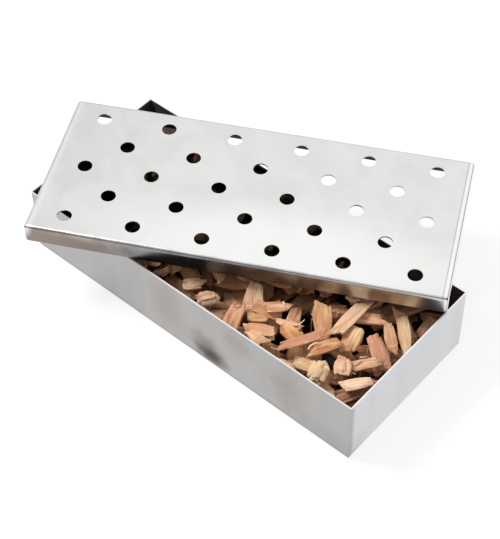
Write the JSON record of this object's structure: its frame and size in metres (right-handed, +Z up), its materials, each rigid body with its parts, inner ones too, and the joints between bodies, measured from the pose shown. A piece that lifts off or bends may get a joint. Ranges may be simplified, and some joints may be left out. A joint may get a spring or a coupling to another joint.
{
  "type": "grill smoker box",
  "caption": "Open stainless tray filled with wood chips, with a loose vented lid resting skew on its rim.",
  "frame": {"origin": "middle of the tray's flat underside", "axes": "+X along the tray, +Y across it to the far side, +Z up"},
  "size_m": [0.2416, 0.1876, 0.0541],
  "materials": {
    "tray_steel": "satin",
    "lid_steel": "satin",
    "pale_wood": "split, unfinished",
    "tan_wood": "split, unfinished",
    "red_wood": "split, unfinished",
    "orange_wood": "split, unfinished",
    "bark_wood": "rough, barky"
  },
  "bodies": {
    "tray": {"tray": "tray_steel", "chip_bed_1_far": "tan_wood", "chip_bed_1_near": "tan_wood", "chip_bed_2_far": "tan_wood", "chip_bed_2_near": "tan_wood", "chip_bed_3_far": "tan_wood", "chip_bed_3_near": "tan_wood", "chip_bed_4_far": "tan_wood", "chip_bed_4_near": "tan_wood", "chip_bed_5_far": "tan_wood", "chip_bed_5_near": "tan_wood", "chip_bed_6_far": "tan_wood", "chip_bed_6_near": "tan_wood", "wood_chip_01": "bark_wood", "wood_chip_02": "red_wood", "wood_chip_03": "bark_wood", "wood_chip_04": "red_wood", "wood_chip_05": "tan_wood", "wood_chip_06": "tan_wood", "wood_chip_07": "pale_wood", "wood_chip_08": "red_wood", "wood_chip_09": "red_wood", "wood_chip_10": "tan_wood", "wood_chip_11": "pale_wood", "wood_chip_12": "tan_wood", "wood_chip_13": "red_wood", "wood_chip_14": "tan_wood", "wood_chip_15": "tan_wood", "wood_chip_16": "pale_wood", "wood_chip_17": "red_wood", "wood_chip_18": "red_wood", "wood_chip_19": "pale_wood", "wood_chip_20": "tan_wood", "wood_chip_21": "red_wood", "wood_chip_22": "orange_wood", "wood_chip_23": "tan_wood", "wood_chip_24": "pale_wood", "wood_chip_25": "pale_wood", "wood_chip_26": "bark_wood", "wood_chip_27": "red_wood", "wood_chip_28": "red_wood", "wood_chip_29": "orange_wood", "wood_chip_30": "tan_wood", "wood_chip_31": "tan_wood", "wood_chip_32": "tan_wood", "wood_chip_33": "pale_wood", "wood_chip_34": "pale_wood", "wood_chip_35": "pale_wood", "wood_chip_36": "orange_wood", "wood_chip_37": "pale_wood", "wood_chip_38": "bark_wood", "wood_chip_39": "pale_wood", "wood_chip_40": "orange_wood", "wood_chip_41": "red_wood", "wood_chip_42": "pale_wood", "wood_chip_43": "pale_wood", "wood_chip_44": "pale_wood"},
    "lid": {"lid": "lid_steel"}
  },
  "joints": [
    {"name": "lid_lift", "type": "slide", "parent": "tray", "child": "lid", "axis": [0, 0, 1], "range_m": [0, 0.12]}
  ]
}
